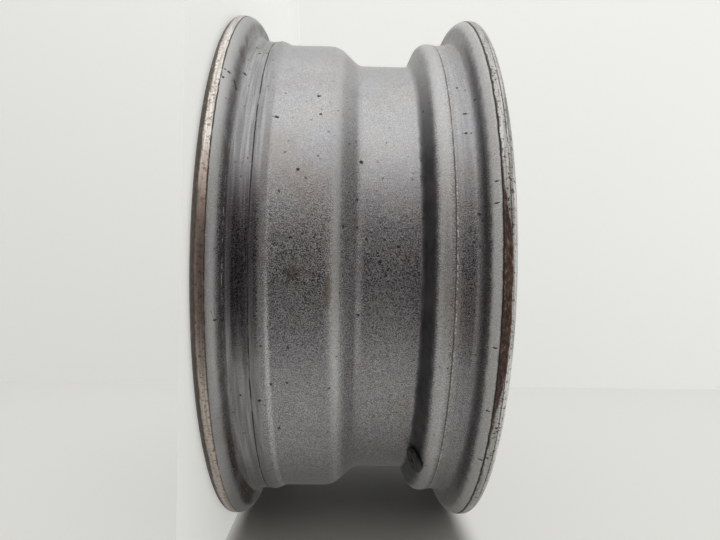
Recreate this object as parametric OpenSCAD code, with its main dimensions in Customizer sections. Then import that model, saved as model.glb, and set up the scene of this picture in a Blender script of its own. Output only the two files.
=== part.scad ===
// Pressed steel wheel: a rolled rim with a drop well, a stamped disc welded into it, and a snap-in tyre valve.
// The wheel's axis is Z, its outboard side faces +Z, and the origin is on the axis midway between the flanges.

/* [Rim] */
// Specified rim diameter, where the line of the bead seat meets the flange
rim_d = 380.2; // [360:0.1:400]
// Width between the two flanges
rim_w = 152.4; // [145:0.1:175]
// Thickness of the rolled rim sheet
rim_t = 2.5; // [2:0.1:3]
// Taper of the bead seats, in degrees
seat_angle = 5; // [3:0.5:7]
// Fillet between a bead seat and its flange
fillet_r = 6.5; // [4:0.1:7.5]

/* [Flanges] */
// Height of the flanges above the specified rim diameter
flange_h = 17.5; // [16.5:0.1:20]
// Radius of the flange's curl on the tyre side
curl_r = 9.5; // [7:0.1:10.5]
// Flat along the crest of the flange
crest_l = 1.3; // [0.5:0.1:5]
// Radius of the bend that turns the lip down
lip_bend_r = 4.5; // [3.5:0.1:7]
// Angle by which the lip is turned down, in degrees
lip_angle = 68; // [40:1:85]
// Straight length of the lip below its bend
lip_l = 3; // [1:0.1:6]

/* [Inboard seat and ledge] */
// Width of the inboard bead seat, from the flange to the foot of its hump
inner_seat_w = 13; // [11:0.1:16]
// Height of the inboard hump above the foot of its seat
inner_hump_h = 0.9; // [0.4:0.1:2]
// Distance from the foot of the inboard hump to its crest
inner_hump_rise_w = 5.8; // [4:0.1:9]
// Distance from the crest of the inboard hump to the ledge
inner_hump_fall_w = 7; // [5:0.1:10]
// Bend radius along the inboard hump
inner_hump_r = 6; // [3.5:0.1:8]
// Depth of the ledge below the specified rim diameter
ledge_drop = 3.3; // [2:0.1:5]
// Bend radius where the ledge turns down to the well
shoulder_r = 18; // [8:0.5:25]

/* [Drop well] */
// Depth of the well below the specified rim diameter
well_depth = 17.8; // [16:0.1:22]
// Width of the well's floor, between the corners of its walls
well_w = 40; // [36:0.5:46]
// Distance of the well's outboard corner from the outboard flange
well_inset = 33.2; // [30:0.1:36]
// Slope of the well's inboard wall, in degrees from the axis
well_slope = 42; // [30:1:55]
// Bend radius at the foot of the inboard wall
well_foot_r = 10; // [4:0.5:14]
// Slope of the well's outboard wall, in degrees from the axis
wall_slope = 68; // [60:1:76]
// Bend radius at the foot of the outboard wall
wall_foot_r = 5; // [3:0.1:6]

/* [Outboard seat] */
// Width of the outboard bead seat, from the flange to the foot of its hump
outer_seat_w = 13.2; // [11:0.1:15]
// Height of the outboard hump above the foot of its seat
outer_hump_h = 1.05; // [0.4:0.05:2]
// Distance from the foot of the outboard hump to its crest
outer_hump_rise_w = 4.8; // [3.5:0.1:5.5]
// Bend radius where the outboard hump meets its seat
outer_hump_r = 5; // [3.5:0.1:7]
// Bend radius where the outboard hump turns down to the well
brink_r = 8; // [4:0.1:9]

/* [Disc] */
// Thickness of the stamped disc
disc_t = 3.8; // [3:0.1:5]
// Distance of the hub face outboard of the rim's middle
wheel_offset = 47; // [40:1:55]
// Diameter of the hub bore
hub_bore_d = 57.1; // [52:0.1:66]
// Height of the drawn collar round the hub bore, from the hub face
collar_h = 12; // [9:0.5:16]
// Bend radius at the foot of the collar
collar_bend_r = 3; // [1.5:0.1:4]
// Diameter of the flat hub face, at the foot of the crown
hub_face_d = 160; // [156:1:168]
// Slope of the crown's inner wall, in degrees
crown_slope = 55; // [45:1:62]
// Diameter of the crown, at the corner of its two walls
crown_d = 188; // [184:1:198]
// Bend radius at the foot of the crown
crown_foot_r = 8; // [4:0.5:10]
// Bend radius over the crown
crown_r = 14; // [6:0.5:17]
// Slope of the disc's outer wall, in degrees
disc_slope = 24; // [18:1:28]
// Bend radius from the outer wall to the skirt
skirt_bend_r = 12; // [6:0.5:15]

/* [Vents and bolt holes] */
// Number of vent holes
vent_n = 16; // [8:1:20]
// Diameter of a vent hole
vent_d = 26; // [16:0.5:30]
// Diameter of the circle of vent holes
vent_circle_d = 272; // [264:1:284]
// Number of bolt holes
bolt_n = 5; // [4:1:6]
// Diameter of the circle of bolt holes
bolt_circle_d = 112; // [110:0.5:114]
// Diameter of a bolt hole
bolt_hole_d = 15; // [13:0.1:16]
// Radius of the ball seat in a bolt hole
ball_seat_r = 13; // [12:0.1:15]
// Diameter of the ball seat's mouth
ball_seat_d = 21; // [18:0.1:23]
// Diameter of the raised pad round a bolt hole, at its top
pad_d = 27; // [25:0.5:29]
// Height of the pad above the disc
pad_h = 2.2; // [1:0.1:3]
// Spread of the pad's side from top to foot
pad_flare = 2; // [0.5:0.1:3]

/* [Welds] */
// Number of weld runs round the skirt
weld_n = 8; // [5:1:10]
// Length of a weld run
weld_l = 62; // [30:1:80]
// Leg of the weld's fillet
weld_leg = 3.5; // [2:0.1:4]

/* [Valve] */
// Angle of the valve round the axis, in degrees
valve_angle = 48; // [0:1:359]
// Diameter of the valve hole in the rim
valve_hole_d = 11.5; // [10:0.1:12]
// Diameter of the rubber base on the tyre side
base_d = 18.5; // [16:0.1:19]
// Thickness of the rubber base
base_t = 4.2; // [3:0.1:6]
// Round along the edges of the rubber base
base_edge_r = 1.8; // [1.2:0.1:2]
// Room between the rubber base and the well's floor
base_room = 1.1; // [0.8:0.1:2]
// Greatest diameter of the rubber outside the rim
bulge_d = 14.5; // [13:0.1:15]
// Length over which the rubber swells from the hole to the bulge
swell_l = 3.6; // [2:0.1:6]
// Length of the rubber outside the rim
rubber_l = 26; // [20:0.5:32]
// Diameter of the rubber at its tip
tip_d = 10; // [9:0.1:12]
// Diameter of the brass stem's thread
stem_d = 7.7; // [7:0.1:8.4]
// Length of brass beyond the rubber
stem_l = 11; // [9:0.5:14]
// Diameter of the brass tube inside the rubber
tube_d = 6.6; // [6.2:0.1:6.8]
// Diameter of the air way through the stem
air_d = 3.4; // [3:0.1:3.8]
// Diameter of the valve core's thread
core_d = 5.2; // [4.8:0.1:5.4]
// Length of the valve core's thread
core_thread_l = 5.5; // [4:0.5:7]
// Length of the valve core's barrel
core_barrel_l = 10; // [6:0.5:14]
// Diameter of the valve core's pin
core_pin_d = 1.3; // [1:0.1:1.6]
// Outer diameter of the dust cap
cap_d = 10.4; // [10:0.1:12]
// Thickness of the dust cap's end
cap_end_t = 1.6; // [1:0.1:3]
// Number of grip ribs on the dust cap
cap_rib_n = 16; // [8:1:20]
// Diameter of a grip rib
cap_rib_d = 0.9; // [0.6:0.1:1.2]

/* [Fits] */
// Gap between the disc's skirt and the well
skirt_gap = 0.05; // [0.02:0.01:0.2]
// Gap round the rubber in the valve hole, and under its base
snap_gap = 0.05; // [0.02:0.01:0.2]
// Gap between the threads of stem, core and cap
thread_gap = 0.05; // [0.02:0.01:0.15]

/* [Hidden] */

// Facets of the round surfaces
$fn = 144;
small_fn = 48;
// Largest turn of one step along a bend, in degrees
bend_step = 9;
// How far a cut runs past the face that it opens
past = 1;

// Radii and heights of the rim's section
seat_r = rim_d / 2;
half_w = rim_w / 2;
flange_r = seat_r + flange_h;
inner_foot_r = seat_r - inner_seat_w * tan(seat_angle);
outer_foot_r = seat_r - outer_seat_w * tan(seat_angle);
ledge_r = seat_r - ledge_drop;
well_r = seat_r - well_depth;
brink_top_r = outer_foot_r + outer_hump_h;
inner_foot_z = -half_w + inner_seat_w;
inner_crest_z = inner_foot_z + inner_hump_rise_w;
ledge_z = inner_crest_z + inner_hump_fall_w;
wall_foot_z = half_w - well_inset;
well_foot_z = wall_foot_z - well_w;
shoulder_z = well_foot_z - (ledge_r - well_r) / tan(well_slope);
brink_z = wall_foot_z + (brink_top_r - well_r) / tan(wall_slope);
outer_foot_z = half_w - outer_seat_w;
outer_crest_z = outer_foot_z - outer_hump_rise_w;

// The lip's bend, and its end
lip_run = lip_bend_r * tan(lip_angle / 2);
lip_corner_z = half_w + curl_r + crest_l + lip_run;
lip_end_r = flange_r - (lip_run + lip_l) * sin(lip_angle);
lip_end_z = lip_corner_z + (lip_run + lip_l) * cos(lip_angle);

// The disc's section
hub_face_z = wheel_offset;
disc_front_z = hub_face_z + disc_t;
collar_r = hub_bore_d / 2 + disc_t;
skirt_r = well_r - rim_t - skirt_gap;
crown_z = disc_front_z + (crown_d - hub_face_d) / 2 * tan(crown_slope);
skirt_corner_z = crown_z - (skirt_r - crown_d / 2) * tan(disc_slope);
// The weld lies on the flat of the well, just outboard of the bend at its foot
weld_room = 0.8;
skirt_end_z = well_foot_z + well_foot_r * tan(well_slope / 2) + weld_room + weld_leg;
vent_z = crown_z - (vent_circle_d - crown_d) / 2 * tan(disc_slope);

// The valve's place, up the well's outboard wall
valve_up = base_d / 2 + base_room;
valve_r = well_r + valve_up * sin(wall_slope);
valve_z = wall_foot_z + valve_up * cos(wall_slope);
// Heights along the valve, from the tyre side of the well's wall
neck_end = rim_t + 1;
bulge_at = neck_end + swell_l;
rubber_end = rim_t + rubber_l;
stem_end = rubber_end + stem_l;
stem_start = -base_t / 2;
core_top = stem_end - 1.2;
core_shoulder = core_top - core_thread_l;
core_end = core_shoulder - core_barrel_l;
core_barrel_d = air_d - 2 * thread_gap;
cap_start = rubber_end + 0.6;
cap_room = 0.8;
cap_end = stem_end + cap_room + cap_end_t;
cap_bore_d = stem_d + 2 * thread_gap;
thread_chamfer = 0.6;

// Colours
PAINT = [0.60, 0.60, 0.61];
DISC_PAINT = [0.64, 0.64, 0.65];
WELD = [0.50, 0.50, 0.51];
RUBBER = [0.06, 0.06, 0.065];
BRASS = [0.72, 0.58, 0.30];
NICKEL = [0.66, 0.64, 0.58];
PLASTIC = [0.05, 0.05, 0.055];

// Plane geometry of a bent sheet. A path is a list of corners [x, y, bend radius], and its two ends have radius 0.
function place(corner) = [corner[0], corner[1]];
function heading(a, b) = (place(b) - place(a)) / norm(place(b) - place(a));
function left_of(u) = [-u[1], u[0]];
function turned(u, angle) = [u[0] * cos(angle) - u[1] * sin(angle), u[0] * sin(angle) + u[1] * cos(angle)];
function turn(u, v) = atan2(u[0] * v[1] - u[1] * v[0], u * v);
function reversed(list) = [for (i = [len(list) - 1:-1:0]) list[i]];

// Arc over corner b of a path, moved by side to the left of the path
function bend_points(a, b, c, side) =
    let (
        u = heading(a, b),
        angle = turn(u, heading(b, c)),
        hand = sign(angle),
        tangent = place(b) - b[2] * tan(abs(angle) / 2) * u,
        centre = tangent + hand * b[2] * left_of(u),
        radius = b[2] - hand * side,
        steps = max(1, ceil(abs(angle) / bend_step))
    )
    [for (i = [0:steps]) centre - hand * radius * turned(left_of(u), angle * i / steps)];

// One face of a sheet that follows a path, moved by side to the left of it
function sheet_face(path, side) =
    let (
        last = len(path) - 1,
        start = place(path[0]) + side * left_of(heading(path[0], path[1])),
        end = place(path[last]) + side * left_of(heading(path[last - 1], path[last])),
        bends = [for (i = [1:last - 1]) each bend_points(path[i - 1], path[i], path[i + 1], side)]
    )
    concat([start], bends, [end]);

module bent_sheet(path, side) {
    polygon(concat(sheet_face(path, 0), reversed(sheet_face(path, side))));
}

// Corners of a flange, from the end of its lip down to its bead seat; z_sign is -1 inboard and 1 outboard.
function flange_path(z_sign) = [
    [lip_end_r, z_sign * lip_end_z, 0],
    [flange_r, z_sign * lip_corner_z, lip_bend_r],
    [flange_r, z_sign * half_w, curl_r],
    [seat_r, z_sign * half_w, fillet_r]
];

// Tyre side of the rim, from the inboard lip to the outboard lip
rim_path = concat(
    flange_path(-1),
    [
        [inner_foot_r, inner_foot_z, inner_hump_r],
        [inner_foot_r + inner_hump_h, inner_crest_z, inner_hump_r],
        [ledge_r, ledge_z, inner_hump_r],
        [ledge_r, shoulder_z, shoulder_r],
        [well_r, well_foot_z, well_foot_r],
        [well_r, wall_foot_z, wall_foot_r],
        [brink_top_r, brink_z, brink_r],
        [brink_top_r, outer_crest_z, outer_hump_r],
        [outer_foot_r, outer_foot_z, outer_hump_r]
    ],
    reversed(flange_path(1))
);

// Outboard side of the disc, from the top of the collar to the edge of the skirt
disc_path = [
    [collar_r, hub_face_z + collar_h, 0],
    [collar_r, disc_front_z, collar_bend_r],
    [hub_face_d / 2, disc_front_z, crown_foot_r],
    [crown_d / 2, crown_z, crown_r],
    [skirt_r, skirt_corner_z, skirt_bend_r],
    [skirt_r, skirt_end_z, 0]
];

// Puts its children on the valve's axis, with the tyre side of the wall at their height 0
module at_valve() {
    rotate([0, 0, valve_angle])
        translate([valve_r, 0, valve_z])
            rotate([0, wall_slope - 90, 0])
                children();
}

module rim() {
    color(PAINT)
        difference() {
            rotate_extrude() bent_sheet(rim_path, rim_t);
            at_valve()
                translate([0, 0, -base_t])
                    cylinder(d = valve_hole_d, h = 2 * base_t + rim_t, $fn = small_fn);
        }
}

// Raised pad round a bolt hole, rooted in the disc
module bolt_pad() {
    translate([bolt_circle_d / 2, 0, disc_front_z - disc_t / 2])
        cylinder(d = pad_d + 2 * pad_flare, h = disc_t / 2);
    translate([bolt_circle_d / 2, 0, disc_front_z])
        cylinder(d1 = pad_d + 2 * pad_flare, d2 = pad_d, h = pad_h);
}

// Bolt hole with the ball seat that opens at the top of its pad
module bolt_hole() {
    seat_rise = sqrt(pow(ball_seat_r, 2) - pow(ball_seat_d / 2, 2));
    translate([bolt_circle_d / 2, 0, hub_face_z - past])
        cylinder(d = bolt_hole_d, h = disc_t + pad_h + 2 * past, $fn = small_fn);
    translate([bolt_circle_d / 2, 0, disc_front_z + pad_h + seat_rise])
        sphere(r = ball_seat_r);
}

// Vent hole, square to the disc's outer wall
module vent_hole() {
    translate([vent_circle_d / 2, 0, vent_z])
        rotate([0, disc_slope, 0])
            translate([0, 0, -2 * disc_t])
                cylinder(d = vent_d, h = 3 * disc_t, $fn = small_fn);
}

// Copies of its children, evenly spaced round the axis
module round_axis(count) {
    for (i = [0:count - 1])
        rotate([0, 0, 360 * i / count])
            children();
}

module disc() {
    color(DISC_PAINT)
        difference() {
            union() {
                rotate_extrude() bent_sheet(disc_path, -disc_t);
                round_axis(bolt_n) bolt_pad();
            }
            round_axis(bolt_n) bolt_hole();
            round_axis(vent_n) vent_hole();
        }
}

module disc_welds() {
    weld_r = well_r - rim_t;
    weld_sweep = weld_l / weld_r * 180 / PI;
    color(WELD)
        round_axis(weld_n)
            rotate([0, 0, -weld_sweep / 2])
                rotate_extrude(angle = weld_sweep)
                    intersection() {
                        translate([weld_r, skirt_end_z]) circle(r = weld_leg, $fn = small_fn);
                        translate([weld_r - weld_leg, skirt_end_z - weld_leg]) square(weld_leg);
                    }
}

// Half section of the rubber: a round-edged base, the neck in the hole, the bulge and the tapered tip
module rubber_section() {
    neck_r = valve_hole_d / 2 - snap_gap;
    edge_x = base_d / 2 - base_edge_r;
    translate([0, -base_t - snap_gap]) square([edge_x, base_t]);
    translate([0, base_edge_r - base_t - snap_gap]) square([base_d / 2, base_t - 2 * base_edge_r]);
    for (y = [base_edge_r - base_t - snap_gap, -base_edge_r - snap_gap])
        translate([edge_x, y]) circle(r = base_edge_r, $fn = small_fn);
    polygon([
        [0, -base_t / 2],
        [neck_r, -base_t / 2],
        [neck_r, neck_end],
        [bulge_d / 2, bulge_at],
        [tip_d / 2, rubber_end],
        [0, rubber_end]
    ]);
}

module valve_body() {
    color(RUBBER)
        at_valve()
            rotate_extrude($fn = small_fn)
                difference() {
                    rubber_section();
                    translate([-base_d, -2 * base_t]) square([base_d, 2 * base_t + rubber_end]);
                    translate([0, -2 * base_t]) square([air_d / 2, 3 * base_t]);
                    translate([0, stem_start]) square([tube_d / 2, rubber_end - stem_start + past]);
                }
}

module valve_stem() {
    color(BRASS)
        at_valve()
            rotate_extrude($fn = small_fn)
                polygon([
                    [air_d / 2, stem_start],
                    [tube_d / 2, stem_start],
                    [tube_d / 2, rubber_end],
                    [stem_d / 2, rubber_end],
                    [stem_d / 2, stem_end - thread_chamfer],
                    [stem_d / 2 - thread_chamfer, stem_end],
                    [core_d / 2 + thread_gap, stem_end],
                    [core_d / 2 + thread_gap, core_shoulder - thread_gap],
                    [air_d / 2, core_shoulder - thread_gap]
                ]);
}

module valve_core() {
    flat_w = core_d / 3;
    flat_h = core_thread_l / 3;
    color(NICKEL)
        at_valve()
            difference() {
                union() {
                    translate([0, 0, core_shoulder])
                        cylinder(d = core_d, h = core_thread_l, $fn = small_fn);
                    translate([0, 0, core_end])
                        cylinder(d = core_barrel_d, h = core_barrel_l + past, $fn = small_fn);
                    translate([0, 0, core_shoulder])
                        cylinder(d = core_pin_d, h = stem_end - core_shoulder, $fn = small_fn);
                }
                for (side = [-1, 1])
                    translate([side * (core_pin_d / 2 + core_d / 2), 0, core_top])
                        cube([core_d - flat_w / 2, core_d, 2 * flat_h], center = true);
            }
}

module valve_cap() {
    color(PLASTIC)
        at_valve() {
            difference() {
                union() {
                    translate([0, 0, cap_start])
                        cylinder(d = cap_d, h = cap_end - cap_start - thread_chamfer, $fn = small_fn);
                    translate([0, 0, cap_end - thread_chamfer])
                        cylinder(d1 = cap_d, d2 = cap_d - 2 * thread_chamfer, h = thread_chamfer, $fn = small_fn);
                    round_axis(cap_rib_n)
                        translate([cap_d / 2, 0, cap_start])
                            cylinder(d = cap_rib_d, h = cap_end - cap_start - 2 * thread_chamfer, $fn = small_fn / 2);
                }
                translate([0, 0, cap_start - past])
                    cylinder(d = cap_bore_d, h = stem_end + cap_room - cap_start + past, $fn = small_fn);
            }
        }
}

rim();
disc();
disc_welds();
valve_body();
valve_stem();
valve_core();
valve_cap();
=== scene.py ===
"""Dresses a pressed steel wheel: worn silver paint, rusted flange crests, stamped disc and tyre valve."""
import cmath
import math

import bmesh
import bpy
from mathutils import Matrix, Vector


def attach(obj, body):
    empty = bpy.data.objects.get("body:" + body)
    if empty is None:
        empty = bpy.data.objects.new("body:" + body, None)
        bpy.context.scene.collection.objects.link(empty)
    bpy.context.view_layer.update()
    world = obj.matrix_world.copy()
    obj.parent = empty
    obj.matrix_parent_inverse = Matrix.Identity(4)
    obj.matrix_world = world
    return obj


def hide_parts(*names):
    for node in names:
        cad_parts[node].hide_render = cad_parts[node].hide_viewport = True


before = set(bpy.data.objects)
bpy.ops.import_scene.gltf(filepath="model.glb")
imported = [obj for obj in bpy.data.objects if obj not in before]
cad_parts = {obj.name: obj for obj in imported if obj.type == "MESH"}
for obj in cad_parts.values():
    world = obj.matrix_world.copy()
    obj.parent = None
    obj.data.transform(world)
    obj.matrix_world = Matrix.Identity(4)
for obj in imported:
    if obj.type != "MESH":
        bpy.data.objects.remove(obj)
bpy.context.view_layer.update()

MM = 0.001

# Sizes of the rim, in millimetres: seats and flanges
RIM_D = 380.2
RIM_W = 152.4
RIM_T = 2.5
SEAT_ANGLE = math.radians(5)
FILLET_R = 6.5
FLANGE_H = 17.5
CURL_R = 9.5
CREST_L = 1.3
LIP_BEND_R = 4.5
LIP_ANGLE = math.radians(68)
LIP_L = 3

# Inboard seat, hump and ledge
INNER_SEAT_W = 13
INNER_HUMP_H = 0.9
INNER_HUMP_RISE_W = 5.8
INNER_HUMP_FALL_W = 7
INNER_HUMP_R = 6
LEDGE_DROP = 3.3
SHOULDER_R = 18

# Drop well
WELL_DEPTH = 17.8
WELL_W = 40
WELL_INSET = 33.2
WELL_SLOPE = math.radians(42)
WELL_FOOT_R = 10
WALL_SLOPE = math.radians(68)
WALL_FOOT_R = 5

# Outboard seat and hump
OUTER_SEAT_W = 13.2
OUTER_HUMP_H = 1.05
OUTER_HUMP_RISE_W = 4.8
OUTER_HUMP_R = 5
BRINK_R = 8

# Radii and heights of the rim's section
SEAT_R = RIM_D / 2
HALF_W = RIM_W / 2
FLANGE_R = SEAT_R + FLANGE_H
INNER_FOOT_R = SEAT_R - INNER_SEAT_W * math.tan(SEAT_ANGLE)
OUTER_FOOT_R = SEAT_R - OUTER_SEAT_W * math.tan(SEAT_ANGLE)
LEDGE_R = SEAT_R - LEDGE_DROP
WELL_R = SEAT_R - WELL_DEPTH
BRINK_TOP_R = OUTER_FOOT_R + OUTER_HUMP_H
INNER_FOOT_Z = INNER_SEAT_W - HALF_W
INNER_CREST_Z = INNER_FOOT_Z + INNER_HUMP_RISE_W
LEDGE_Z = INNER_CREST_Z + INNER_HUMP_FALL_W
WALL_FOOT_Z = HALF_W - WELL_INSET
WELL_FOOT_Z = WALL_FOOT_Z - WELL_W
SHOULDER_Z = WELL_FOOT_Z - (LEDGE_R - WELL_R) / math.tan(WELL_SLOPE)
BRINK_Z = WALL_FOOT_Z + (BRINK_TOP_R - WELL_R) / math.tan(WALL_SLOPE)
OUTER_FOOT_Z = HALF_W - OUTER_SEAT_W
OUTER_CREST_Z = OUTER_FOOT_Z - OUTER_HUMP_RISE_W
LIP_RUN = LIP_BEND_R * math.tan(LIP_ANGLE / 2)
LIP_CORNER_Z = HALF_W + CURL_R + CREST_L + LIP_RUN
LIP_END_R = FLANGE_R - (LIP_RUN + LIP_L) * math.sin(LIP_ANGLE)
LIP_END_Z = LIP_CORNER_Z + (LIP_RUN + LIP_L) * math.cos(LIP_ANGLE)

# Sizes of the disc and its welds
DISC_T = 3.8
HUB_FACE_Z = 47
HUB_BORE_R = 28.55
COLLAR_H = 12
COLLAR_BEND_R = 3
HUB_FACE_R = 80
CROWN_SLOPE = math.radians(55)
CROWN_AT_R = 94
CROWN_FOOT_R = 8
CROWN_R = 14
DISC_SLOPE = math.radians(24)
SKIRT_BEND_R = 12
SKIRT_GAP = 0.05
VENT_N = 16
VENT_R = 13
VENT_CIRCLE_R = 136
BOLT_N = 5
BOLT_CIRCLE_R = 56
BOLT_HOLE_R = 7.5
BALL_SEAT_R = 13
BALL_MOUTH_R = 10.5
PAD_R = 13.5
PAD_FLARE = 2
PAD_H = 2.2
WELD_N = 8
WELD_L = 62
WELD_LEG = 3.5
WELD_ROOM = 0.8
RIPPLE_N = 30
RIPPLE_SIZE = Vector((2.5, 1.9, 2.5))
RIPPLE_INSET = 0.9

# Radii and heights of the disc's section
DISC_FRONT_Z = HUB_FACE_Z + DISC_T
COLLAR_R = HUB_BORE_R + DISC_T
WELD_R = WELL_R - RIM_T
SKIRT_R = WELD_R - SKIRT_GAP
CROWN_Z = DISC_FRONT_Z + (CROWN_AT_R - HUB_FACE_R) * math.tan(CROWN_SLOPE)
SKIRT_CORNER_Z = CROWN_Z - (SKIRT_R - CROWN_AT_R) * math.tan(DISC_SLOPE)
SKIRT_END_Z = WELL_FOOT_Z + WELL_FOOT_R * math.tan(WELL_SLOPE / 2) + WELD_ROOM + WELD_LEG
VENT_Z = CROWN_Z - (VENT_CIRCLE_R - CROWN_AT_R) * math.tan(DISC_SLOPE)

# Sizes of the valve
VALVE_ANGLE = math.radians(48)
VALVE_HOLE_R = 5.75
BASE_R = 9.25
BASE_T = 4.2
BASE_EDGE_R = 1.8
BASE_ROOM = 1.1
SNAP_GAP = 0.05
BULGE_R = 7.25
SWELL_L = 3.6
RUBBER_L = 26
AIR_R = 1.7
TUBE_R = 3.3
STEM_R = 3.85
STEM_L = 11
THREAD_GAP = 0.05
CAP_R = 5.2
CAP_GAP = 0.6
CAP_ROOM = 0.8
CAP_END_T = 1.6
CAP_CHAMFER = 0.6
CAP_RIB_N = 16
CAP_RIB_SIZE = Vector((0.45, 0.45, 5.6))

# Radii of the valve and heights along it, from the tyre side of the well's wall
NECK_R = VALVE_HOLE_R - SNAP_GAP
CAP_BORE_R = STEM_R + THREAD_GAP
BASE_LOW = -BASE_T - SNAP_GAP
NECK_END = RIM_T + 1
BULGE_AT = NECK_END + SWELL_L
RUBBER_END = RIM_T + RUBBER_L
STEM_START = -BASE_T / 2
STEM_END = RUBBER_END + STEM_L
CAP_START = RUBBER_END + CAP_GAP
CAP_INSIDE = STEM_END + CAP_ROOM
CAP_END = CAP_INSIDE + CAP_END_T

# Place of the valve up the well's outboard wall, with its axis along local Z
VALVE_UP = BASE_R + BASE_ROOM
VALVE_AT_R = WELL_R + VALVE_UP * math.sin(WALL_SLOPE)
VALVE_AT_Z = WALL_FOOT_Z + VALVE_UP * math.cos(WALL_SLOPE)
AT_VALVE = (
    Matrix.Rotation(VALVE_ANGLE, 4, "Z")
    @ Matrix.Translation((VALVE_AT_R * MM, 0, VALVE_AT_Z * MM))
    @ Matrix.Rotation(WALL_SLOPE - math.pi / 2, 4, "Y")
)


def flange_corners(side):
    """Corners of a flange from the end of its lip to its seat; side is -1 inboard and 1 outboard."""
    return [
        (LIP_END_R, side * LIP_END_Z, 0), (FLANGE_R, side * LIP_CORNER_Z, LIP_BEND_R),
        (FLANGE_R, side * HALF_W, CURL_R), (SEAT_R, side * HALF_W, FILLET_R),
    ]


# Corners of the rim's tyre side as radius, height along the axis and bend radius, from lip to lip
RIM_CORNERS = [
    *flange_corners(-1),
    (INNER_FOOT_R, INNER_FOOT_Z, INNER_HUMP_R), (INNER_FOOT_R + INNER_HUMP_H, INNER_CREST_Z, INNER_HUMP_R),
    (LEDGE_R, LEDGE_Z, INNER_HUMP_R), (LEDGE_R, SHOULDER_Z, SHOULDER_R), (WELL_R, WELL_FOOT_Z, WELL_FOOT_R),
    (WELL_R, WALL_FOOT_Z, WALL_FOOT_R), (BRINK_TOP_R, BRINK_Z, BRINK_R),
    (BRINK_TOP_R, OUTER_CREST_Z, OUTER_HUMP_R), (OUTER_FOOT_R, OUTER_FOOT_Z, OUTER_HUMP_R),
    *reversed(flange_corners(1)),
]
# Corners of the disc's outboard side, from the collar round the hub bore to the edge of the skirt
DISC_CORNERS = [
    (COLLAR_R, HUB_FACE_Z + COLLAR_H, 0), (COLLAR_R, DISC_FRONT_Z, COLLAR_BEND_R),
    (HUB_FACE_R, DISC_FRONT_Z, CROWN_FOOT_R), (CROWN_AT_R, CROWN_Z, CROWN_R),
    (SKIRT_R, SKIRT_CORNER_Z, SKIRT_BEND_R), (SKIRT_R, SKIRT_END_Z, 0),
]


# Sections, as complex numbers of radius and height

def section(*points):
    """Outline from pairs of radius and height."""
    return [complex(*point) for point in points]


def arc(centre, spoke, start, end, steps):
    """Points of an arc; spoke is its radius, or a complex number where its angle 0 is turned."""
    return [centre + spoke * cmath.exp(1j * (start + (end - start) * i / steps)) for i in range(steps + 1)]


def bend_points(before, corner, after, radius, side, step):
    """Arc over one corner of a path, in steps of some degrees, moved by side to the left of the path."""
    u = (corner - before) / abs(corner - before)
    v = (after - corner) / abs(after - corner)
    angle = cmath.phase(v / u)
    hand = math.copysign(1, angle)
    centre = corner - radius * math.tan(abs(angle) / 2) * u + hand * radius * 1j * u
    spoke = -hand * (radius - hand * side) * 1j * u
    rounding = 0.001
    steps = max(2, math.ceil(abs(angle) / math.radians(step) - rounding))
    return arc(centre, spoke, 0, angle, steps)


def sheet_face(corners, side, step):
    """One face of a sheet that follows the corners, moved by side to the left of them."""
    path = [complex(r, z) for r, z, _ in corners]
    first = (path[1] - path[0]) / abs(path[1] - path[0])
    last = (path[-1] - path[-2]) / abs(path[-1] - path[-2])
    points = [path[0] + side * 1j * first]
    for i in range(1, len(path) - 1):
        points += bend_points(path[i - 1], path[i], path[i + 1], corners[i][2], side, step)
    return points + [path[-1] + side * 1j * last]


def spaced(points, longest):
    """The same line with its long straights divided."""
    line = [points[0]]
    for start, end in zip(points, points[1:]):
        parts = max(1, math.ceil(abs(end - start) / longest))
        line += [start + (end - start) * i / parts for i in range(1, parts + 1)]
    return line


# Meshes

def piece_from_mesh(name, mesh):
    piece = bpy.data.objects.new(name, mesh)
    bpy.context.scene.collection.objects.link(piece)
    return piece


def closed_mesh(name, corners, faces, slots, place):
    """Mesh in metres from corners in millimetres, with doubles merged and faces turned outwards."""
    mesh = bpy.data.meshes.new(name)
    mesh.from_pydata([tuple(c * MM for c in corner) for corner in corners], [], faces)
    mesh.polygons.foreach_set("material_index", slots)
    work = bmesh.new()
    work.from_mesh(mesh)
    bmesh.ops.remove_doubles(work, verts=work.verts, dist=0.002 * MM)
    bmesh.ops.dissolve_degenerate(work, edges=work.edges, dist=0.001 * MM)
    bmesh.ops.recalc_face_normals(work, faces=work.faces)
    if place:
        bmesh.ops.transform(work, matrix=place, verts=work.verts)
    work.to_mesh(mesh)
    work.free()
    return mesh


def lathe(name, outline, segments, slots=None, place=None):
    """Turns a closed outline round the axis; slots gives each stretch of the outline its material."""
    count = len(outline)
    corners, faces, face_slots = [], [], []
    for j in range(segments):
        turn = 2 * math.pi * j / segments
        x, y = math.cos(turn), math.sin(turn)
        corners += [(point.real * x, point.real * y, point.imag) for point in outline]
    for j in range(segments):
        here, there = j * count, (j + 1) % segments * count
        for i in range(count):
            after = (i + 1) % count
            faces.append((here + i, here + after, there + after, there + i))
            face_slots.append(slots[i] if slots else 0)
    return closed_mesh(name, corners, faces, face_slots, place)


def joined(name, meshes):
    """One mesh from several, which are used up."""
    work = bmesh.new()
    for mesh in meshes:
        work.from_mesh(mesh)
        bpy.data.meshes.remove(mesh)
    whole = bpy.data.meshes.new(name)
    work.to_mesh(whole)
    work.free()
    return whole


def settle(piece):
    """Replaces a piece's mesh by what its modifiers make of it."""
    graph = bpy.context.evaluated_depsgraph_get()
    mesh = bpy.data.meshes.new_from_object(piece.evaluated_get(graph))
    used = piece.data
    piece.modifiers.clear()
    piece.data = mesh
    bpy.data.meshes.remove(used)


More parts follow.
